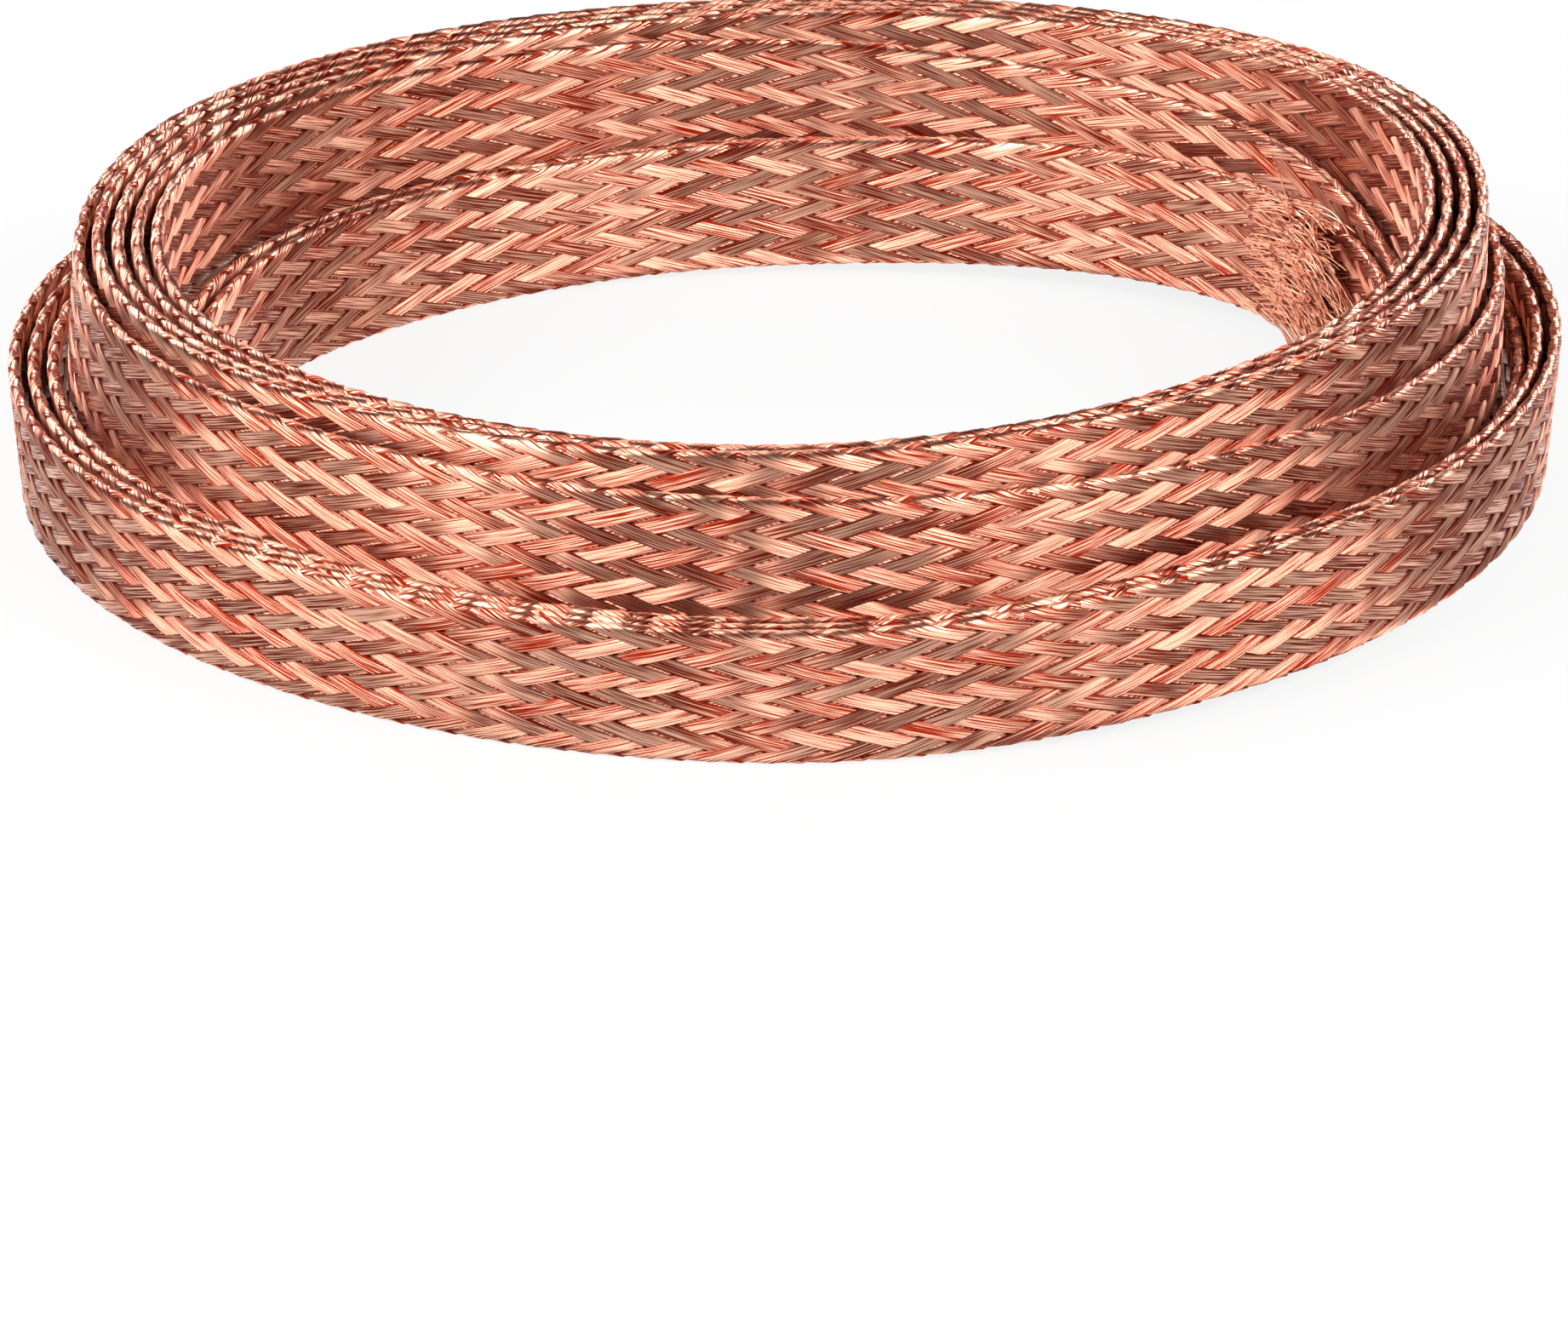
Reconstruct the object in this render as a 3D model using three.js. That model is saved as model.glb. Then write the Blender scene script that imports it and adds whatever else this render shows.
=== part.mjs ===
// Flexible busbar braid: one flat, bare copper braid, wound on edge into a loose coil of ten turns.
// Millimetres, +Z up. The origin is the middle of the coil's footprint, on the surface it stands on.
import * as THREE from 'three';
import { mergeVertices } from 'three/addons/utils/BufferGeometryUtils.js';

// The braid: a tube of plaited wire bundles rolled flat, so its section is a thin bar.
const braidWidth = 15;
const braidThickness = 1.3;

// The plait's ribs run along the braid. Each face shows them as crests with valleys between.
const ribCrests = 4;
const ribDepth = 0.2;
const edgeRounding = 0.25;

// The coil. Turns are counted from the +X side, anticlockwise seen from above.
const turnCountAtInnerEnd = 0.094;
const turnCountAtOuterEnd = 10.2;
const stepsPerTurn = 32;
const coilInnerRadius = 64.5;
const minimumTurnGap = 0.35;

// The frayed inner end swells towards the middle of the coil over its last stretch.
const frayLength = 9;
const frayExtraThickness = 0.7;

// Lists of eight go round one turn in eighths: right, back right, back, back left, left,
// front left, front, front right. A real coil is not a true circle, and its turns lie closer
// together on some sides than on others. Out of round is in percent of the coil's inner radius,
// and the extra gap between turns is in braid thicknesses.
const OUT_OF_ROUND = [-2.95, 9.77, 7.29, 0.47, -6.67, -4.5, -1.24, -4.03];
const EXTRA_GAP = [0.17, 0.055, 0.04, 0.425, 0.315, 0.055, 0.025, 0.09];

// Height of the braid's lower edge in braid widths, one row for each turn. Two inner turns stand
// on the ground, the next one climbs, five turns ride on the edges of those that stand, and the
// outer turns come down to the ground again. The coil is loose, so its right side lifts a little.
const CLIMBING = [0.03, 0.51, 0.79, 0.87, 0.93, 0.93, 0.95, 1.05];
const UPPER_TIER = [1.13, 1.05, 0.97, 0.91, 0.93, 0.93, 0.99, 1.08];
const UPPER_OUTSIDE = [1.13, 1.05, 0.97, 0.91, 0.93, 0.95, 1.03, 1.11];
const SAGGING = [1.13, 1.05, 0.97, 0.9, 0.83, 0.8, 0.75, 0.68];
const LIFT = [
  [0.2, 0.2, 0.06, 0, 0, 0, 0, 0.08],
  [0.15, 0.16, 0.04, 0, 0, 0, 0, 0],
  CLIMBING,
  UPPER_TIER,
  UPPER_TIER,
  UPPER_OUTSIDE,
  SAGGING,
  [0.63, 0.4, 0.19, 0.04, 0, 0, 0, 0],
  [0, 0, 0, 0, 0, 0, 0, 0.15],
  [0.17, 0.1, 0, 0, 0, 0, 0, 0.15],
  [0.21, 0.11, 0.03, 0, 0, 0, 0, 0],
].flat();

// Lean of the braid from upright in degrees, its top edge outwards. The outer turns flare.
const UPRIGHT = [0, 0, 0, 0, 0, 0, 0, 0];
const LEANING_IN = [0, 0, -2, -3, -4, -2, 0, 0];
const FLARED = [4.5, 4, 4, 4, 4.5, 7, 9, 4];
const LEAN = [
  UPRIGHT,
  UPRIGHT,
  LEANING_IN,
  LEANING_IN,
  LEANING_IN,
  LEANING_IN,
  LEANING_IN,
  [0, 2, 4, 4, 4.5, 7, 9, 4],
  FLARED,
  FLARED,
  FLARED,
].flat();

// Smooth closed curve through a list that goes once round.
function roundTheTurn(list, place) {
  const index = Math.floor(place);
  const f = place - index;
  const [a, b, c, d] = [-1, 0, 1, 2].map((k) => list[(index + k + list.length) % list.length]);
  return 0.5 * (2 * b + (c - a) * f + (2 * a - 5 * b + 4 * c - d) * f ** 2 + (3 * b - a - 3 * c + d) * f ** 3);
}

// Slope at the middle of three values: the harmonic mean, and flat where they turn.
function slope(before, here, after) {
  const rise = here - before;
  const next = after - here;
  return rise * next <= 0 ? 0 : (2 * rise * next) / (rise + next);
}

// Smooth curve through a list that never passes above or below its values.
function alongTheBraid(list, place) {
  const index = Math.min(Math.floor(place), list.length - 2);
  const f = place - index;
  const [a, b, c, d] = [-1, 0, 1, 2].map((k) => list[THREE.MathUtils.clamp(index + k, 0, list.length - 1)]);
  const blend = f * f * (3 - 2 * f);
  return b * (1 - blend) + c * blend + slope(a, b, c) * (f ** 3 - 2 * f * f + f) + slope(b, c, d) * (f ** 3 - f * f);
}

const turnPitch = EXTRA_GAP.map((extra) => braidThickness * (1 + extra) + minimumTurnGap);
const innerRing = OUT_OF_ROUND.map((percent) => coilInnerRadius * (1 + percent / 100));

// Where the braid is after so many turns: its angle, the radius of its middle, the height of its
// lower edge, and how far its top edge leans outwards for each millimetre of height.
function braidAt(turns) {
  const eighths = turns * 8;
  const around = eighths % 8;
  const lean = THREE.MathUtils.degToRad(alongTheBraid(LEAN, eighths));
  return {
    angle: turns * 2 * Math.PI,
    radius: roundTheTurn(innerRing, around) + roundTheTurn(turnPitch, around) * turns,
    lift: braidWidth * alongTheBraid(LIFT, eighths),
    height: braidWidth * Math.cos(lean),
    slant: Math.tan(lean),
  };
}

// Section of the flattened braid as points of depth and height share, anticlockwise when the
// outside of the coil is on the right. Its two narrow edges are flat, so it stands on one.
function braidSection() {
  const half = braidThickness / 2;
  const face = [];
  const stations = 2 * ribCrests - 1;
  for (let i = 0; i < stations; i++) {
    const valley = i % 2 === 1;
    const share = (i + 1) / (stations + 1);
    face.push([valley ? half - ribDepth : half, share]);
  }
  const outside = [[half - edgeRounding, 0], ...face, [half - edgeRounding, 1]];
  const inside = outside.map(([depth, share]) => [-depth, share]).reverse();
  return [...outside, ...inside];
}

// Turn counts at which the braid has a section: its inner end, the end of the fray, and then even
// steps to its outer end.
function sectionsAlong() {
  const innerEndLap = 2 * Math.PI * braidAt(turnCountAtInnerEnd).radius;
  const frayEnd = turnCountAtInnerEnd + frayLength / innerEndLap;
  const steps = Math.round((turnCountAtOuterEnd - frayEnd) * stepsPerTurn);
  const step = (turnCountAtOuterEnd - frayEnd) / steps;
  return [turnCountAtInnerEnd, ...Array.from({ length: steps + 1 }, (_, i) => frayEnd + step * i)];
}

function makeBraid() {
  const section = braidSection();
  const sections = sectionsAlong();
  const positions = [];
  for (const turns of sections) {
    const at = braidAt(turns);
    const swell = turns === turnCountAtInnerEnd ? frayExtraThickness : 0;
    for (const [depth, share] of section) {
      const z = at.lift + at.height * share;
      const offset = depth + at.slant * at.height * (share - 0.5) - (depth < 0 ? swell : 0);
      const r = at.radius + offset;
      positions.push(r * Math.cos(at.angle), r * Math.sin(at.angle), z);
    }
  }
  const indices = [];
  const count = section.length;
  const steps = sections.length - 1;
  for (let step = 0; step < steps; step++) {
    for (let i = 0; i < count; i++) {
      const here = step * count + i;
      const next = step * count + ((i + 1) % count);
      indices.push(here, next + count, next, here, here + count, next + count);
    }
  }
  const contour = section.map(([depth, share]) => new THREE.Vector2(depth, share));
  const cap = THREE.ShapeUtils.triangulateShape(contour, []);
  const last = steps * count;
  for (const [a, b, c] of cap) {
    indices.push(a, b, c);
    indices.push(last + a, last + c, last + b);
  }
  const geometry = new THREE.BufferGeometry();
  geometry.setAttribute('position', new THREE.Float32BufferAttribute(positions, 3));
  geometry.setIndex(indices);
  return geometry;
}

// The coil's footprint is centred on the origin.
function centreFootprint(geometry) {
  geometry.computeBoundingBox();
  const { min, max } = geometry.boundingBox;
  geometry.translate(-(min.x + max.x) / 2, -(min.y + max.y) / 2, 0);
  return mergeVertices(geometry);
}

const copper = new THREE.MeshStandardMaterial({ color: 0xd98a66, roughness: 0.35, metalness: 1 });

const busbarBraid = new THREE.Group();
const braid = new THREE.Mesh(centreFootprint(makeBraid()), copper);
braid.name = 'copper_braid';
busbarBraid.add(braid);

export default busbarBraid;
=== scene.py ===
"""Looks of a flexible busbar braid: flat plaited copper, wound on edge into a loose coil.

One wire bundle is modelled straight, over one lay of the plait. Arrays repeat it, copies make
the other bundles, a mirror image makes those that run the other way, and a curve through the
middle of the braid winds them all into the coil.
"""

import math

import bpy
import numpy as np
from bpy.props import (
    FloatProperty,
    FloatVectorProperty,
    IntProperty,
    PointerProperty,
)
from mathutils import Matrix, Vector


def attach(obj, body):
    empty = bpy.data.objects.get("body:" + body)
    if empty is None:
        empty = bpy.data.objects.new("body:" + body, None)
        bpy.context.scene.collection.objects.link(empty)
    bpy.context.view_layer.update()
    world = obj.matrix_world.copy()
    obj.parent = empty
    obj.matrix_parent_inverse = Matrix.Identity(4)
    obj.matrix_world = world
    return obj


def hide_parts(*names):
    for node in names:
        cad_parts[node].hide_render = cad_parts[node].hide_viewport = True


bl_info = {
    "name": "Flexible busbar braid",
    "version": (1, 0, 0),
    "blender": (4, 5, 0),
    "location": "View3D > Sidebar > Busbar braid",
    "description": "Builds a coil of flat plaited copper braid, bundle by bundle",
    "category": "Object",
}

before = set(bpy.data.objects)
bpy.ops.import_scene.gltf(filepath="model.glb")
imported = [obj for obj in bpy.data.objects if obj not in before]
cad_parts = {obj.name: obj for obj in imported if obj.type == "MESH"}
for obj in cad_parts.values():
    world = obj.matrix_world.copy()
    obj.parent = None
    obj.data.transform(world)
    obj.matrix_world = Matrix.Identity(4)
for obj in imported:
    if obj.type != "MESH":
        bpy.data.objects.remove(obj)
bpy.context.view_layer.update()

MM = 0.001
COPPER_NODE = "copper_braid"

# Lists of eight go round one turn of the coil in eighths, from the right side anticlockwise
# seen from above, as in the part's source. Out of round is in percent of the inner radius, and
# the extra gap between turns is in braid thicknesses.
OUT_OF_ROUND = [-2.95, 9.77, 7.29, 0.47, -6.67, -4.5, -1.24, -4.03]
EXTRA_GAP = [0.17, 0.055, 0.04, 0.425, 0.315, 0.055, 0.025, 0.09]

# Height of the braid's lower edge in braid widths, one row for each turn.
CLIMBING = [0.03, 0.51, 0.79, 0.87, 0.93, 0.93, 0.95, 1.05]
UPPER_TIER = [1.13, 1.05, 0.97, 0.91, 0.93, 0.93, 0.99, 1.08]
UPPER_OUTSIDE = [1.13, 1.05, 0.97, 0.91, 0.93, 0.95, 1.03, 1.11]
SAGGING = [1.13, 1.05, 0.97, 0.9, 0.83, 0.8, 0.75, 0.68]
LIFT = [
    [0.2, 0.2, 0.06, 0, 0, 0, 0, 0.08],
    [0.15, 0.16, 0.04, 0, 0, 0, 0, 0],
    CLIMBING,
    UPPER_TIER,
    UPPER_TIER,
    UPPER_OUTSIDE,
    SAGGING,
    [0.63, 0.4, 0.19, 0.04, 0, 0, 0, 0],
    [0, 0, 0, 0, 0, 0, 0, 0.15],
    [0.17, 0.1, 0, 0, 0, 0, 0, 0.15],
    [0.21, 0.11, 0.03, 0, 0, 0, 0, 0],
]

# Lean of the braid from upright in degrees, its top edge outwards.
UPRIGHT = [0] * 8
LEANING_IN = [0, 0, -2, -3, -4, -2, 0, 0]
FLARED = [4.5, 4, 4, 4, 4.5, 7, 9, 4]
LEAN = [UPRIGHT] * 2 + [LEANING_IN] * 5 + [[0, 2, 4, 4, 4.5, 7, 9, 4]] + [FLARED] * 3

# One repeat of the plait: a bundle passes over two others and under two. Each row is a place
# along it, counted in crossings, and the bundle's height there as a share of its wave.
OVER_TWO_UNDER_TWO = [(-0.35, 0.4), (0.15, 1.05), (0.85, 1.05), (1.35, 0.4), (2.5, -1)]
CROSSINGS_PER_REPEAT = 4
REPEATS_PER_LAY = 8

# Where a bundle folds over the braid's edge, in crossings, and its extra rows near each fold.
FOLDS = [-0.5, 15.5, 31.5]
FOLD_ROWS = [-0.65, -0.3, 0, 0.35]

# Section of a bundle: place across it as a share of its width, and height above its underside
# as a share of its thickness. The last point closes the ring.
BUNDLE_SECTION = [(-0.5, 0.1), (-0.43, 0.87), (0, 1), (0.43, 0.87), (0.5, 0.1), (-0.5, 0.1)]

# How far from a fold, in crossings, a bundle's section is made finer.
FOLD_REACH = 0.66

# Edges of a bundle that bend more than this stay sharp in the shading.
SHARP_EDGE = math.radians(50)

# Ten wires of 0.2 mm lie side by side in a bundle. They are drawn as six, to show at this size.
DRAWN_WIRES = 6

# A bundle is deepest in the plait this share of a repeat before its UV repeat starts.
DEEPEST_BEFORE = 0.375

# Loose wires: the share that lies over the plait, the share that springs up, and the length of
# one straight step of a wire.
SHARE_OVER_PLAIT = 0.4
SHARE_SPRUNG = 0.09
WIRE_STEP = 1.1 * MM


def linear(hex_colour):
    """Turns an sRGB hex colour into linear red, green and blue."""
    parts = [int(hex_colour[i : i + 2], 16) / 255 for i in (1, 3, 5)]
    return [p / 12.92 if p <= 0.04045 else ((p + 0.055) / 1.055) ** 2.4 for p in parts]


class CoilSizes(bpy.types.PropertyGroup):
    """The wound braid"""

    braid_width: FloatProperty(
        name="Braid width", description="Width of the flat braid", default=15 * MM, unit="LENGTH"
    )
    braid_thickness: FloatProperty(
        name="Braid thickness",
        description="Thickness over both walls of the flattened plait",
        default=1.3 * MM,
        unit="LENGTH",
    )
    inner_radius: FloatProperty(
        name="Inner radius",
        description="Mean radius of the innermost turn",
        default=64.5 * MM,
        unit="LENGTH",
    )
    turn_gap: FloatProperty(
        name="Gap between turns",
        description="Smallest gap between two turns",
        default=0.35 * MM,
        unit="LENGTH",
    )
    inner_end: FloatProperty(
        name="Inner end", description="Where the braid starts, in turns", default=0.094
    )
    outer_end: FloatProperty(
        name="Outer end", description="Where the braid stops, in turns", default=10.2
    )


class PlaitSizes(bpy.types.PropertyGroup):
    """The plait of wire bundles"""

    bundles_each_way: IntProperty(
        name="Bundles each way",
        description="Wire bundles that wind round the braid in one direction",
        default=16,
    )
    slope: FloatProperty(
        name="Slope", description="Slope of the bundles to the braid's length", default=0.31
    )
    bundle_fill: FloatProperty(
        name="Bundle fill",
        description="Width of a bundle as a share of its spacing",
        default=0.94,
        subtype="FACTOR",
    )
    bundle_thickness: FloatProperty(
        name="Bundle thickness",
        description="Thickness of a flattened wire bundle",
        default=0.3 * MM,
        unit="LENGTH",
    )
    wave: FloatProperty(
        name="Wave",
        description="How far a bundle rises and sinks as it passes over and under",
        default=0.16 * MM,
        unit="LENGTH",
    )
    pieces_each_way: IntProperty(
        name="Pieces each way",
        description="Objects that hold the bundles of one direction",
        default=4,
    )


class CopperColours(bpy.types.PropertyGroup):
    """The wire's colours: its copper, and a deep copper for tone and painted shade"""

    copper: FloatVectorProperty(
        name="Copper",
        description="Colour of the bright soft wire",
        subtype="COLOR",
        default=linear("#FFC6A8"),
    )
    # Deep copper is random tone and painted shade: on the bundles it is painted between the wires
    # and along their borders, and on the loose wires it makes random dull patches.
    deep_tone_and_painted_shade: FloatVectorProperty(
        name="Deep copper",
        description="Colour between the wires, where light bounces from copper to copper",
        subtype="COLOR",
        default=linear("#96240A"),
    )


class FraySizes(bpy.types.PropertyGroup):
    """Loose wires at the cut ends"""

    wire_diameter: FloatProperty(
        name="Wire", description="Diameter of one wire", default=0.2 * MM, unit="LENGTH"
    )
    unplaited: FloatProperty(
        name="Unplaited",
        description="Length at each end over which the plait has come apart",
        default=3 * MM,
        unit="LENGTH",
    )
    inner_wires: IntProperty(
        name="Inner wires", description="Loose wires at the inner end", default=280
    )
    inner_reach: FloatProperty(
        name="Inner reach",
        description="Most that a loose wire stands out past the inner end",
        default=15 * MM,
        unit="LENGTH",
    )
    outer_wires: IntProperty(
        name="Outer wires", description="Loose wires at the outer end", default=160
    )
    outer_reach: FloatProperty(
        name="Outer reach",
        description="Most that a loose wire stands out past the outer end",
        default=4 * MM,
        unit="LENGTH",
    )
    seed: IntProperty(name="Seed", description="Start of the random draws", default=7)


class StudioSizes(bpy.types.PropertyGroup):
    """Floor, lamps and camera"""

    camera_distance: FloatProperty(
        name="Camera distance",
        description="From the camera to the middle of the coil",
        default=0.95,
        unit="LENGTH",
    )
    camera_elevation: FloatProperty(
        name="Camera elevation",
        description="Height of the camera above the horizon",
        default=math.radians(20.1),
        subtype="ANGLE",
    )
    lamp_power: FloatProperty(
        name="Lamp power",
        description="Power of the left soft box in watts, of which the others have shares",
        default=8.2,
    )


class BusbarBraid(bpy.types.PropertyGroup):
    """All settings of the braid"""

    coil: PointerProperty(type=CoilSizes)
    plait: PointerProperty(type=PlaitSizes)
    copper: PointerProperty(type=CopperColours)
    fray: PointerProperty(type=FraySizes)
    studio: PointerProperty(type=StudioSizes)


def round_the_turn(values, place):
    """Smooth closed curve through a list that goes once round."""
    values = np.asarray(values, float)
    index = np.floor(place).astype(int)
    f = place - index
    a, b, c, d = (values[(index + k) % len(values)] for k in (-1, 0, 1, 2))
    bend, twist = 2 * a - 5 * b + 4 * c - d, 3 * b - a - 3 * c + d
    return 0.5 * (2 * b + (c - a) * f + bend * f**2 + twist * f**3)


def slope(before, here, after):
    """Slope at the middle of three values: the harmonic mean, and flat where they turn."""
    rise, following = here - before, after - here
    total = np.where(rise + following == 0, 1, rise + following)
    return np.where(rise * following <= 0, 0, 2 * rise * following / total)


def along_the_braid(rows, place):
    """Smooth curve through rows of values that never passes above or below them."""
    values = np.asarray(rows, float).ravel()
    last = len(values) - 1
    index = np.minimum(np.floor(place).astype(int), last - 1)
    f = place - index
    a, b, c, d = (values[np.clip(index + k, 0, last)] for k in (-1, 0, 1, 2))
    blend = f * f * (3 - 2 * f)
    steps = slope(a, b, c) * (f**3 - 2 * f * f + f) + slope(b, c, d) * (f**3 - f * f)
    return b * (1 - blend) + c * blend + steps


class BraidRoute:
    """The line through the middle of the braid's section, from its inner end to its outer end."""

    STATIONS_PER_TURN = 160

    def __init__(self, sizes):
        count = round((sizes.outer_end - sizes.inner_end) * self.STATIONS_PER_TURN)
        self.turns = np.linspace(sizes.inner_end, sizes.outer_end, count + 1)
        place = self.turns * 8
        ring = sizes.inner_radius * (1 + round_the_turn(OUT_OF_ROUND, place % 8) / 100)
        wider = sizes.braid_thickness * (1 + round_the_turn(EXTRA_GAP, place % 8))
        radius = ring + (wider + sizes.turn_gap) * self.turns
        self.lean = np.radians(along_the_braid(LEAN, place))
        self.angle = self.turns * 2 * math.pi
        height = sizes.braid_width * np.cos(self.lean)
        middle = sizes.braid_width * along_the_braid(LIFT, place) + height / 2
        outline = radius + sizes.braid_thickness / 2
        outline = outline + np.abs(np.tan(self.lean)) * height / 2
        self.shift = np.array(
            [
                (np.min(outline * wave) + np.max(outline * wave)) / 2
                for wave in (np.cos(self.angle), np.sin(self.angle))
            ]
        )
        self.points = np.stack(
            [
                radius * np.cos(self.angle) - self.shift[0],
                radius * np.sin(self.angle) - self.shift[1],
                middle,
            ],
            axis=1,
        )
        steps = np.linalg.norm(np.diff(self.points, axis=0), axis=1)
        self.distance = np.concatenate([[0], np.cumsum(steps)])
        self.length = self.distance[-1]


def select_only(*objects):
    """Selects these objects and makes the last one active."""
    bpy.ops.object.select_all(action="DESELECT")
    for obj in objects:
        obj.select_set(True)
        bpy.context.view_layer.objects.active = obj


def route_curve(route):
    """The route as a curve that other meshes can be bent along."""
    data = bpy.data.curves.new("braid_route", "CURVE")
    data.dimensions = "3D"
    data.twist_mode = "Z_UP"
    data.use_deform_bounds = False
    spline = data.splines.new("POLY")
    spline.points.add(len(route.points) - 1)
    spline.points.foreach_set("co", np.c_[route.points, np.ones(len(route.points))].ravel())
    spline.points.foreach_set("tilt", route.lean)
    curve = bpy.data.objects.new("braid_route", data)
    bpy.context.scene.collection.objects.link(curve)
    return curve


class FlatTube:
    """The middle of the plaited wall: a tube rolled flat, with a straight face on each side."""

    def __init__(self, coil, plait):
        wall = plait.wave + plait.bundle_thickness / 2
        self.edge_radius = coil.braid_thickness / 2 - wall
        self.face = coil.braid_width - coil.braid_thickness
        self.lap = 2 * self.face + 2 * math.pi * self.edge_radius

    def place(self, u, height):
        """Depth and width coordinates at distance u round the tube from the middle of its top
        edge, at a height above the wall's middle."""
        quarter = math.pi * self.edge_radius / 2
        u = u % self.lap
        starts = np.cumsum([0, quarter, self.face, 2 * quarter, self.face])
        part = np.searchsorted(starts, u, side="right") - 1
        run = u - starts[part]
        reach = self.edge_radius + height
        turn = run / self.edge_radius
        half = self.face / 2
        depth = [
            reach * np.sin(turn),
            reach,
            reach * np.cos(turn),
            -reach,
            -reach * np.cos(turn),
        ]
        width = [
            half + reach * np.cos(turn),
            half - run,
            -half - reach * np.sin(turn),
            run - half,
            half + reach * np.sin(turn),
        ]
        return np.choose(part, depth), np.choose(part, width)


def bundle_rows():
    """Places along one lay of a bundle, in crossings, with the bundle's height at each."""
    rows = [
        (place + CROSSINGS_PER_REPEAT * repeat, height)
        for repeat in range(-1, REPEATS_PER_LAY + 1)
        for place, height in OVER_TWO_UNDER_TWO
    ]
    places, heights = zip(*rows)
    folds = [fold + row for fold in FOLDS for row in FOLD_ROWS]
    wanted = sorted({p for p in (*places, *folds) if FOLDS[0] <= p <= FOLDS[-1]})
    return wanted, places, heights


def refine_folds():
    """Cuts the bundle's top into narrower strips near each fold, in edit mode."""
    bpy.ops.object.mode_set(mode="OBJECT")
    mesh = bpy.context.object.data
    for edge in mesh.edges:
        start, end = (mesh.vertices[i].co for i in edge.vertices)
        near = min(abs(start.x - fold) for fold in FOLDS) < FOLD_REACH
        on_top = min(start.z, end.z) > 0.5
        edge.select = near and on_top and start.x == end.x
    bpy.ops.object.mode_set(mode="EDIT")
    bpy.ops.mesh.subdivide(number_cuts=2)


def make_lay(plait, tube, name):
    """One wire bundle over one lay, which is once round the flat tube, straight along X. It is
    laid out flat first, in crossings and shares of its width and thickness, and then bent."""
    spacing = tube.lap / plait.bundles_each_way
    crossing = spacing / 2 / plait.slope
    wanted, places, heights = bundle_rows()
    columns = len(BUNDLE_SECTION)
    bpy.ops.object.select_all(action="DESELECT")
    bpy.ops.mesh.primitive_grid_add(
        x_subdivisions=columns - 1, y_subdivisions=len(wanted) - 1, size=1
    )
    bundle = bpy.context.object
    bundle.name = name
    mesh = bundle.data
    for vertex in mesh.vertices:
        column = round((vertex.co.x + 0.5) * (columns - 1))
        row = round((vertex.co.y + 0.5) * (len(wanted) - 1))
        vertex.co = (wanted[row], *BUNDLE_SECTION[column])
    bpy.ops.object.mode_set(mode="EDIT")
    bpy.ops.mesh.select_mode(type="EDGE")
    bpy.ops.mesh.select_all(action="DESELECT")
    refine_folds()
    bpy.ops.mesh.select_mode(type="VERT")
    bpy.ops.object.mode_set(mode="OBJECT")
    q, across, up = np.array([v.co for v in mesh.vertices]).T
    u = (q + 0.5) * spacing / 2 + across * spacing * plait.bundle_fill
    height = plait.wave * np.interp(q, places, heights) + plait.bundle_thickness * (up - 0.5)
    depth, width = tube.place(u, height)
    mesh.vertices.foreach_set("co", np.stack([q * crossing, depth, width], axis=1).ravel())
    corner = np.zeros(len(mesh.loops), int)
    mesh.loops.foreach_get("vertex_index", corner)
    uv = np.stack([q[corner] / CROSSINGS_PER_REPEAT, across[corner] + 0.5], axis=1)
    mesh.uv_layers[0].name = "wires"
    mesh.uv_layers["wires"].data.foreach_set("uv", uv.ravel())
    mesh.update()
    return bundle, crossing


def repeat_lay(bundle, lay, count):
    """Repeats one lay end to end, and closes the seams."""
    select_only(bundle)
    bpy.ops.object.modifier_add(type="ARRAY")
    array = bundle.modifiers[-1]
    array.count = count
    array.use_relative_offset = False
    array.use_constant_offset = True
    array.constant_offset_displace = (lay, 0, 0)
    array.offset_u = REPEATS_PER_LAY
    bpy.ops.object.modifier_apply(modifier=array.name)
    bpy.ops.object.mode_set(mode="EDIT")
    bpy.ops.mesh.select_all(action="SELECT")
    bpy.ops.mesh.remove_doubles(threshold=0.001 * MM)
    bpy.ops.mesh.normals_make_consistent(inside=False)
    bpy.ops.object.mode_set(mode="OBJECT")


def copy_bundle(pattern, name, along, number, mirrored):
    """A copy of the long straight bundle, moved along X."""
    bundle = pattern.copy()
    bundle.data = pattern.data.copy()
    bundle.name = name
    bpy.context.scene.collection.objects.link(bundle)
    mesh = bundle.data
    points = np.zeros(len(mesh.vertices) * 3)
    mesh.vertices.foreach_get("co", points)
    points = points.reshape(-1, 3) * (1, -1 if mirrored else 1, 1) + (along, 0, 0)
    mesh.vertices.foreach_set("co", points.ravel())
    uv = np.zeros(len(mesh.loops) * 2)
    mesh.uv_layers["wires"].data.foreach_get("uv", uv)
    mesh.uv_layers["wires"].data.foreach_set("uv", uv + np.resize([0, number], len(uv)))
    if mirrored:
        mesh.flip_normals()
    return bundle


def trim_ends(start, end):
    """Cuts the bundle in edit mode where the plait starts and where it ends."""
    for place, side in ((start, {"clear_inner": True}), (end, {"clear_outer": True})):
        bpy.ops.mesh.select_all(action="SELECT")
        bpy.ops.mesh.bisect(
            plane_co=(place, 0, 0), plane_no=(1, 0, 0), use_fill=True, **side
        )


def finish_piece(bundles, name, plaited, curve, material):
    """Joins straight bundles, cuts them to length and winds them into the coil."""
    select_only(*bundles)
    bpy.ops.object.join()
    piece = bpy.context.object
    piece.name = name
    piece.data.name = name
    bpy.ops.object.mode_set(mode="EDIT")
    trim_ends(*plaited)
    bpy.ops.object.mode_set(mode="OBJECT")
    bpy.ops.object.modifier_add(type="CURVE")
    bend = piece.modifiers[-1]
    bend.object = curve
    bend.deform_axis = "POS_X"
    bpy.ops.object.modifier_apply(modifier=bend.name)
    bpy.ops.object.modifier_add(type="TRIANGULATE")
    split = piece.modifiers[-1]
    split.quad_method = "SHORTEST_DIAGONAL"
    bpy.ops.object.modifier_apply(modifier=split.name)
    bpy.ops.object.shade_smooth_by_angle(angle=SHARP_EDGE)
    piece.data.materials.clear()
    piece.data.materials.append(material)
    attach(piece, "root")
    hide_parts(COPPER_NODE)
    return piece


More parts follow.
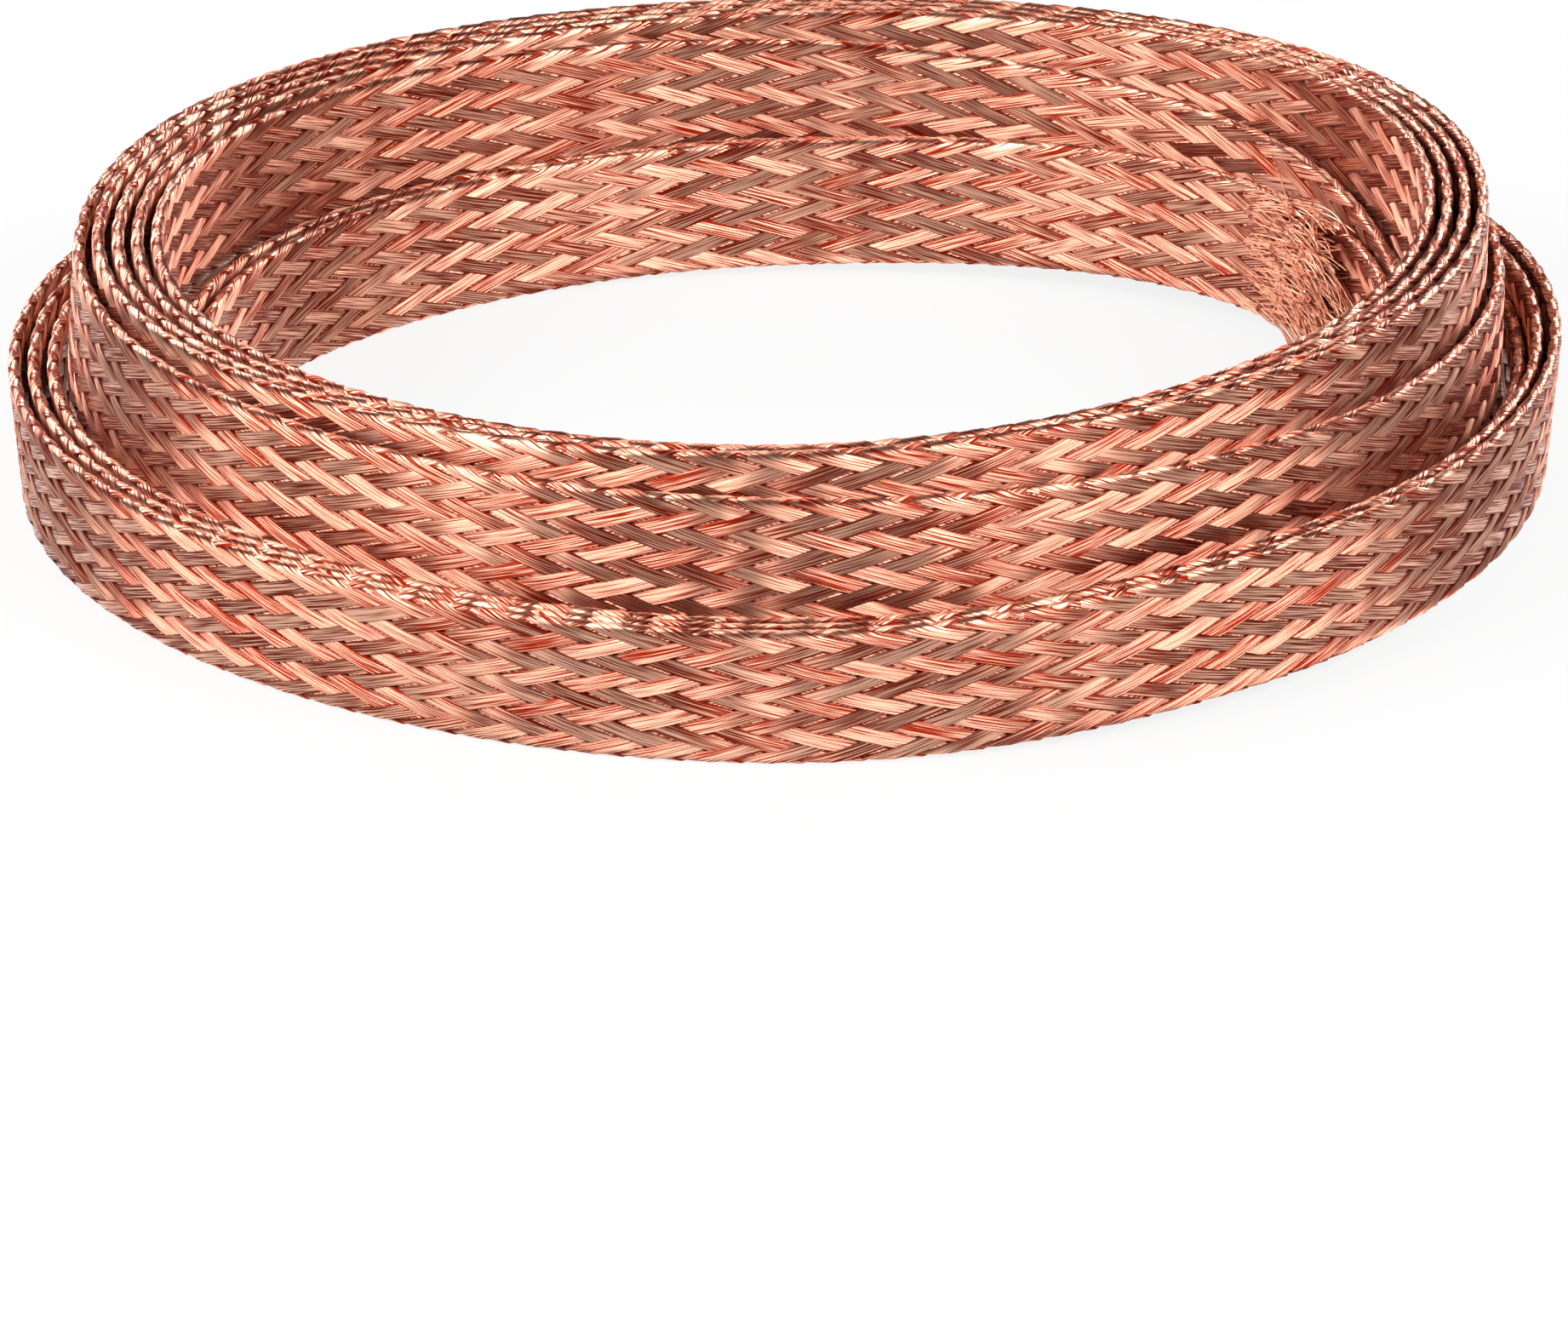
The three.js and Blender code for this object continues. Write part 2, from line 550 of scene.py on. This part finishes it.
def add_node(tree, kind, inputs=(), **settings):
    """Adds a node. inputs gives sockets by name or number, each a value or a socket to link."""
    node = tree.nodes.new(kind)
    for key, value in settings.items():
        setattr(node, key, value)
    for key, value in dict(inputs).items():
        if isinstance(value, bpy.types.NodeSocket):
            tree.links.new(value, node.inputs[key])
        else:
            node.inputs[key].default_value = value
    return node


def soft_copper_wire(copper_colours):
    """Bare soft copper wire, drawn and annealed, laid flat side by side in bundles of ten. A
    bundle glints across its own wires only, so those that run one way shine while the others
    stay dark."""
    material = bpy.data.materials.new("soft copper wire")
    material.use_nodes = True
    tree = material.node_tree
    tree.nodes.clear()
    uv = add_node(tree, "ShaderNodeUVMap", uv_map="wires")
    place = add_node(tree, "ShaderNodeSeparateXYZ", {0: uv.outputs[0]})
    # Painted shade: a bundle's colour is painted deepest along its two borders, where light dies
    # in the slits between bundles.
    border = add_node(
        tree, "ShaderNodeMath", {0: place.outputs["Y"], 1: 0.5}, operation="PINGPONG"
    )
    lit = add_node(
        tree,
        "ShaderNodeMapRange",
        {"Value": border.outputs[0], "From Min": 0.02, "From Max": 0.13, "To Min": 0.25},
    )
    # The wires don't lie quite straight in their bundle.
    wander = add_node(
        tree,
        "ShaderNodeTexNoise",
        {"Vector": uv.outputs[0], "Scale": 1.3, "Detail": 1.0},
        noise_dimensions="2D",
    )
    shifted = add_node(
        tree,
        "ShaderNodeMath",
        {0: wander.outputs["Fac"], 1: 0.22, 2: place.outputs["Y"]},
        operation="MULTIPLY_ADD",
    )
    counted = add_node(
        tree,
        "ShaderNodeMath",
        {0: shifted.outputs[0], 1: DRAWN_WIRES * math.pi},
        operation="MULTIPLY",
    )
    sine = add_node(tree, "ShaderNodeMath", {0: counted.outputs[0]}, operation="SINE")
    wires = add_node(tree, "ShaderNodeMath", {0: sine.outputs[0]}, operation="ABSOLUTE")
    # Streaks of tone run along the wires, about half a repeat long and less than a wire wide.
    stretched = add_node(
        tree,
        "ShaderNodeVectorMath",
        {0: uv.outputs[0], 1: (1.6, 14.0, 1.0)},
        operation="MULTIPLY",
    )
    streaks = add_node(
        tree,
        "ShaderNodeTexNoise",
        {"Vector": stretched.outputs[0], "Scale": 1.0, "Detail": 2.0, "Roughness": 0.6},
        noise_dimensions="2D",
    )
    # Each stretch of a bundle that shows on top has its own tone.
    moved = add_node(
        tree,
        "ShaderNodeVectorMath",
        {0: uv.outputs[0], 1: (DEEPEST_BEFORE, 0.0, 0.0)},
        operation="ADD",
    )
    stretch = add_node(tree, "ShaderNodeVectorMath", {0: moved.outputs[0]}, operation="FLOOR")
    chance = add_node(
        tree, "ShaderNodeTexWhiteNoise", {"Vector": stretch.outputs[0]}, noise_dimensions="2D"
    )
    tone = add_node(
        tree,
        "ShaderNodeMath",
        {0: chance.outputs["Value"], 1: 0.12, 2: streaks.outputs["Fac"]},
        operation="MULTIPLY_ADD",
    )
    # The deep copper follows the streaks of tone and, a little, the grooves between the wires,
    # where it is painted shade of light that bounces from copper to copper and more roughness
    # blurs the glint. On the crests the copper stays pale and sharp.
    crest = add_node(
        tree,
        "ShaderNodeMath",
        {0: wires.outputs[0], 1: 0.1, 2: tone.outputs[0]},
        operation="MULTIPLY_ADD",
    )
    depth = add_node(
        tree,
        "ShaderNodeMapRange",
        {"Value": crest.outputs[0], "From Min": 0.5, "From Max": 0.75},
        interpolation_type="SMOOTHSTEP",
    )
    # Share of pale copper: low in the deep streaks of tone, and in the painted shade between the
    # wires and along the bundle's borders.
    tone_and_painted_light = add_node(
        tree, "ShaderNodeMath", {0: depth.outputs[0], 1: lit.outputs[0]}, operation="MULTIPLY"
    )
    colour = add_node(
        tree,
        "ShaderNodeMix",
        {
            "Factor": tone_and_painted_light.outputs[0],
            "A": (*copper_colours.deep_tone_and_painted_shade, 1),
            "B": (*copper_colours.copper, 1),
        },
        data_type="RGBA",
    )
    rough = add_node(
        tree,
        "ShaderNodeMapRange",
        {"Value": tone_and_painted_light.outputs[0], "To Min": 0.7, "To Max": 0.36},
    )
    bump = add_node(
        tree,
        "ShaderNodeBump",
        {"Strength": 0.15, "Distance": 0.1 * MM, "Height": wires.outputs[0]},
    )
    grain = add_node(tree, "ShaderNodeTangent", direction_type="UV_MAP", uv_map="wires")
    shader = add_node(
        tree,
        "ShaderNodeBsdfPrincipled",
        {
            "Base Color": colour.outputs["Result"],
            "Metallic": 1.0,
            "Roughness": rough.outputs[0],
            "Anisotropic": 1.0,
            "Anisotropic Rotation": 0.25,
            "Normal": bump.outputs[0],
            "Tangent": grain.outputs[0],
        },
    )
    add_node(tree, "ShaderNodeOutputMaterial", {"Surface": shader.outputs[0]})
    return material


class BUSBAR_OT_bundles(bpy.types.Operator):
    """Plaits the wire bundles and winds them into the coil"""

    bl_idname = "busbar.bundles"
    bl_label = "Wire bundles"

    def execute(self, context):
        settings = context.scene.busbar_braid
        plait = settings.plait
        route = BraidRoute(settings.coil)
        curve = route_curve(route)
        tube = FlatTube(settings.coil, plait)
        material = soft_copper_wire(settings.copper)
        pattern, crossing = make_lay(plait, tube, "straight_bundle")
        lay = crossing * CROSSINGS_PER_REPEAT * REPEATS_PER_LAY
        repeat_lay(pattern, lay, math.ceil(route.length / lay) + 3)
        in_piece = plait.bundles_each_way // plait.pieces_each_way
        plaited = (settings.fray.unplaited, route.length - settings.fray.unplaited)
        for mirrored, hand in ((False, "right_hand"), (True, "left_hand")):
            for group in range(plait.pieces_each_way):
                bundles = []
                for k in range(in_piece):
                    number = group * in_piece + k
                    lead = 1 + 2 * number if mirrored else -2 * number
                    along = (lead * crossing) % lay - 2 * lay
                    bundles.append(
                        copy_bundle(pattern, f"bundle_{number}", along, number, mirrored)
                    )
                finish_piece(bundles, f"{hand}_bundles_{group + 1}", plaited, curve, material)
        for helper in (pattern, curve):
            bpy.data.objects.remove(helper)
        return {"FINISHED"}


class BraidEnd:
    """One end of the braid, with the directions in which its loose wires leave it."""

    def __init__(self, route, outer):
        self.route = route
        self.outer = outer
        ends = route.points[-2:] if outer else route.points[1::-1]
        self.along = (ends[1] - ends[0]) / np.linalg.norm(ends[1] - ends[0])
        across = ends[1] * (1, 1, 0) + (*route.shift, 0)
        self.inwards = -across / np.linalg.norm(across)
        lean = route.lean[-1 if outer else 0]
        self.up = np.array([0, 0, math.cos(lean)]) - self.inwards * math.sin(lean)

    def place(self, past, up, inwards):
        """World place at a distance past the end, above and inwards of the braid's middle."""
        inside = min(past, 0)
        run = self.route.length + inside if self.outer else -inside
        middle = [np.interp(run, self.route.distance, axis) for axis in self.route.points.T]
        free = max(past, 0) * self.along
        return np.array(middle) + free + up * self.up + inwards * self.inwards


def loose_wire(end, draw, coil, plait, fray, reach, droop):
    """Points of one wire that leaves the plait and curls as it comes free. Some start further in
    and lie over the plait, and a few spring up. The heading is along, up and inwards."""
    over = draw.uniform() < SHARE_OVER_PLAIT
    hidden = draw.uniform(2, 8) * MM if over else draw.uniform(1, 3) * MM
    past = reach * draw.beta(1.6, 2)
    steps = max(5, round((fray.unplaited + hidden + past) / WIRE_STEP))
    up = draw.uniform(-0.46, 0.46) * coil.braid_width
    half = coil.braid_thickness / 2
    inwards = half * draw.uniform(0.95, 1.2) if over else half * draw.uniform(-0.7, 0.9)
    heading = np.array([1, draw.choice((-1, 1)) * plait.slope * draw.uniform(0.2, 1.1), 0])
    curl = np.array([0, draw.normal(-droop, 0.03), abs(draw.normal(0, 0.03))])
    if draw.uniform() < SHARE_SPRUNG:
        curl = np.array([0, draw.normal(0.08, 0.2), abs(draw.normal(0, 0.12))])
    at = np.array([-fray.unplaited - hidden, up, inwards])
    points = []
    for index in range(steps + 1):
        points.append(end.place(*at))
        heading = heading + curl * (index / steps)
        heading = heading / np.linalg.norm(heading)
        at = at + heading * WIRE_STEP
        limit = 0.49 * coil.braid_width + 1.5 * max(at[0] + fray.unplaited, 0)
        at[1] = np.clip(at[1], -limit, limit)
    points = np.array(points)
    # A wire lies on the floor and never in it.
    points[:, 2] = np.maximum(points[:, 2], 0.7 * fray.wire_diameter)
    return points


def wire_curve(wires, name, diameter):
    """Round wires as one bevelled curve object, made a mesh."""
    data = bpy.data.curves.new(name, "CURVE")
    data.dimensions = "3D"
    data.bevel_depth = diameter / 2
    data.bevel_resolution = 0
    data.use_fill_caps = True
    for points in wires:
        spline = data.splines.new("POLY")
        spline.points.add(len(points) - 1)
        spline.points.foreach_set("co", np.c_[points, np.ones(len(points))].ravel())
    piece = bpy.data.objects.new(name, data)
    bpy.context.scene.collection.objects.link(piece)
    select_only(piece)
    bpy.ops.object.convert(target="MESH")
    return bpy.context.object


def loose_copper_wire(copper_colours):
    """Single strands of the same bare soft wire. Each is bright where it bends to the light and
    deep copper where it dulls from handling."""
    material = bpy.data.materials.new("loose soft copper wire")
    material.use_nodes = True
    tree = material.node_tree
    tree.nodes.clear()
    place = add_node(tree, "ShaderNodeTexCoord")
    # Tone changes about every two millimetres along a wire.
    dulled = add_node(
        tree,
        "ShaderNodeTexNoise",
        {"Vector": place.outputs["Object"], "Scale": 500.0, "Detail": 2.0},
    )
    depth = add_node(
        tree,
        "ShaderNodeMapRange",
        {"Value": dulled.outputs["Fac"], "From Min": 0.25, "From Max": 0.5},
        interpolation_type="SMOOTHSTEP",
    )
    colour = add_node(
        tree,
        "ShaderNodeMix",
        {
            "Factor": depth.outputs[0],
            "A": (*copper_colours.deep_tone_and_painted_shade, 1),
            "B": (*copper_colours.copper, 1),
        },
        data_type="RGBA",
    )
    rough = add_node(
        tree,
        "ShaderNodeMapRange",
        {"Value": dulled.outputs["Fac"], "To Min": 0.4, "To Max": 0.25},
    )
    shader = add_node(
        tree,
        "ShaderNodeBsdfPrincipled",
        {"Base Color": colour.outputs["Result"], "Metallic": 1.0, "Roughness": rough.outputs[0]},
    )
    add_node(tree, "ShaderNodeOutputMaterial", {"Surface": shader.outputs[0]})
    return material


class BUSBAR_OT_frays(bpy.types.Operator):
    """Lets the wires come loose at both cut ends"""

    bl_idname = "busbar.frays"
    bl_label = "Frayed ends"

    def execute(self, context):
        settings = context.scene.busbar_braid
        fray = settings.fray
        route = BraidRoute(settings.coil)
        material = loose_copper_wire(settings.copper)
        draw = np.random.default_rng(fray.seed)
        for name, outer, count, reach, droop in (
            ("inner_end_wires", False, fray.inner_wires, fray.inner_reach, 0.05),
            ("outer_end_wires", True, fray.outer_wires, fray.outer_reach, 0.02),
        ):
            end = BraidEnd(route, outer)
            wires = [
                loose_wire(end, draw, settings.coil, settings.plait, fray, reach, droop)
                for _ in range(count)
            ]
            piece = wire_curve(wires, name, fray.wire_diameter)
            bpy.ops.object.shade_smooth()
            piece.data.materials.clear()
            piece.data.materials.append(material)
            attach(piece, "root")
            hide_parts(COPPER_NODE)
        return {"FINISHED"}


# How much of what the camera and the copper see of the floor is plain white.
WHITE_SHARE = 0.86


def photo_floor():
    """Matt pale paper that keeps the coil's soft shadow. What the camera and the copper see of it
    is brightened towards white."""
    material = bpy.data.materials.new("matt white paper")
    material.use_nodes = True
    tree = material.node_tree
    tree.nodes.clear()
    paper = add_node(
        tree,
        "ShaderNodeBsdfPrincipled",
        {"Base Color": (*linear("#BEBEBE"), 1), "Roughness": 0.9, "Specular IOR Level": 0.1},
    )
    white = add_node(tree, "ShaderNodeEmission", {"Color": (1, 1, 1, 1), "Strength": 1.0})
    ray = add_node(tree, "ShaderNodeLightPath")
    seen = add_node(
        tree,
        "ShaderNodeMath",
        {0: ray.outputs["Is Camera Ray"], 1: ray.outputs["Is Glossy Ray"]},
        operation="MAXIMUM",
    )
    clear = add_node(
        tree,
        "ShaderNodeMath",
        {0: seen.outputs[0], 1: ray.outputs["Is Transmission Ray"]},
        operation="MAXIMUM",
    )
    share = add_node(
        tree, "ShaderNodeMath", {0: clear.outputs[0], 1: WHITE_SHARE}, operation="MULTIPLY"
    )
    shader = add_node(
        tree,
        "ShaderNodeMixShader",
        {0: share.outputs[0], 1: paper.outputs[0], 2: white.outputs[0]},
    )
    add_node(tree, "ShaderNodeOutputMaterial", {"Surface": shader.outputs[0]})
    return material


def aim(obj, place, target):
    """Puts a lamp or the camera at a place, turned towards a target."""
    obj.location = place
    obj.rotation_mode = "QUATERNION"
    obj.rotation_quaternion = (Vector(target) - Vector(place)).to_track_quat("-Z", "Y")


def direction(azimuth, elevation):
    """Unit vector from the object towards a place round it. Azimuth 0 is the viewer's side."""
    a, e = math.radians(azimuth), math.radians(elevation)
    return Vector((math.sin(a) * math.cos(e), -math.cos(a) * math.cos(e), math.sin(e)))


def add_lamp(name, azimuth, elevation, size, power):
    """A soft box of a width and a height that looks at the coil."""
    data = bpy.data.lights.new(name, "AREA")
    data.shape = "RECTANGLE"
    data.size, data.size_y = size
    data.energy = power
    lamp = bpy.data.objects.new(name, data)
    bpy.context.scene.collection.objects.link(lamp)
    aim(lamp, direction(azimuth, elevation) * LAMP_DISTANCE, COIL_MIDDLE)


# Soft boxes: name, azimuth and elevation in degrees, width and height in metres, and share of
# the lamp power.
LAMPS = (
    ("left_soft_box", -58, 36, (0.7, 0.16), 1.0),
    ("right_soft_box", 44, 36, (0.6, 0.16), 0.86),
    ("back_left_soft_box", -142, 24, (0.5, 0.16), 0.43),
    ("back_right_soft_box", 138, 24, (0.5, 0.16), 0.43),
)
LAMP_DISTANCE = 0.75
WORLD_COLOUR, WORLD_STRENGTH = "#C8C8C8", 0.18
COIL_MIDDLE = (0, 0, 0.015)

# Lens and framing of the photograph.
SENSOR_WIDTH = 36.0
LENS = 206.1
COIL_BESIDE_MIDDLE = -0.72 * MM
COIL_ABOVE_MIDDLE = 18.92 * MM

# The floor lies a hair under the coil, so the two never share a surface.
FLOOR_LEVEL = -0.02 * MM


class BUSBAR_OT_stage(bpy.types.Operator):
    """Sets up the floor, lamps, world and camera"""

    bl_idname = "busbar.stage"
    bl_label = "Stage"

    def execute(self, context):
        settings = context.scene.busbar_braid
        studio = settings.studio
        bpy.ops.object.select_all(action="DESELECT")
        bpy.ops.mesh.primitive_circle_add(vertices=96, radius=14, fill_type="NGON")
        floor = context.object
        floor.name = "paper_floor"
        floor.data.transform(Matrix.Translation((0, 0, FLOOR_LEVEL)))
        floor.data.materials.append(photo_floor())
        for name, azimuth, elevation, size, share in LAMPS:
            add_lamp(name, azimuth, elevation, size, studio.lamp_power * share)
        world = bpy.data.worlds.new("studio")
        world.use_nodes = True
        background = world.node_tree.nodes["Background"]
        background.inputs["Color"].default_value = (*linear(WORLD_COLOUR), 1)
        background.inputs["Strength"].default_value = WORLD_STRENGTH
        context.scene.world = world

        route = BraidRoute(settings.coil)
        target = Vector((-route.shift[0], -route.shift[1], 0))
        elevation = studio.camera_elevation
        towards = direction(0, math.degrees(elevation))
        up = Vector((0, math.sin(elevation), math.cos(elevation)))
        aimed = target - up * COIL_ABOVE_MIDDLE - Vector((COIL_BESIDE_MIDDLE, 0, 0))
        data = bpy.data.cameras.new("camera")
        data.sensor_width = SENSOR_WIDTH
        data.lens = LENS
        data.clip_start, data.clip_end = 0.05, 50
        camera = bpy.data.objects.new("camera", data)
        context.scene.collection.objects.link(camera)
        aim(camera, target + towards * studio.camera_distance, aimed)
        context.scene.camera = camera
        context.scene.view_settings.view_transform = "Standard"
        return {"FINISHED"}


class BUSBAR_PT_panel(bpy.types.Panel):
    """Lists the steps that build the braid"""

    bl_label = "Busbar braid"
    bl_space_type = "VIEW_3D"
    bl_region_type = "UI"
    bl_category = "Busbar braid"

    def draw(self, context):
        settings = context.scene.busbar_braid
        groups = ("coil", "plait", "copper", "fray", "studio")
        for group in (getattr(settings, name) for name in groups):
            box = self.layout.box()
            for name in group.__annotations__:
                box.prop(group, name)
        for step in STEPS:
            self.layout.operator(step.bl_idname)


STEPS = (BUSBAR_OT_bundles, BUSBAR_OT_frays, BUSBAR_OT_stage)
GROUPS = (CoilSizes, PlaitSizes, CopperColours, FraySizes, StudioSizes, BusbarBraid)


def register():
    for cls in (*GROUPS, *STEPS, BUSBAR_PT_panel):
        bpy.utils.register_class(cls)
    bpy.types.Scene.busbar_braid = PointerProperty(type=BusbarBraid)


def unregister():
    del bpy.types.Scene.busbar_braid
    for cls in reversed((*GROUPS, *STEPS, BUSBAR_PT_panel)):
        bpy.utils.unregister_class(cls)


def main():
    """Builds every piece and the stage."""
    register()
    bpy.ops.busbar.bundles()
    bpy.ops.busbar.frays()
    bpy.ops.busbar.stage()


if __name__ == "__main__":
    main()
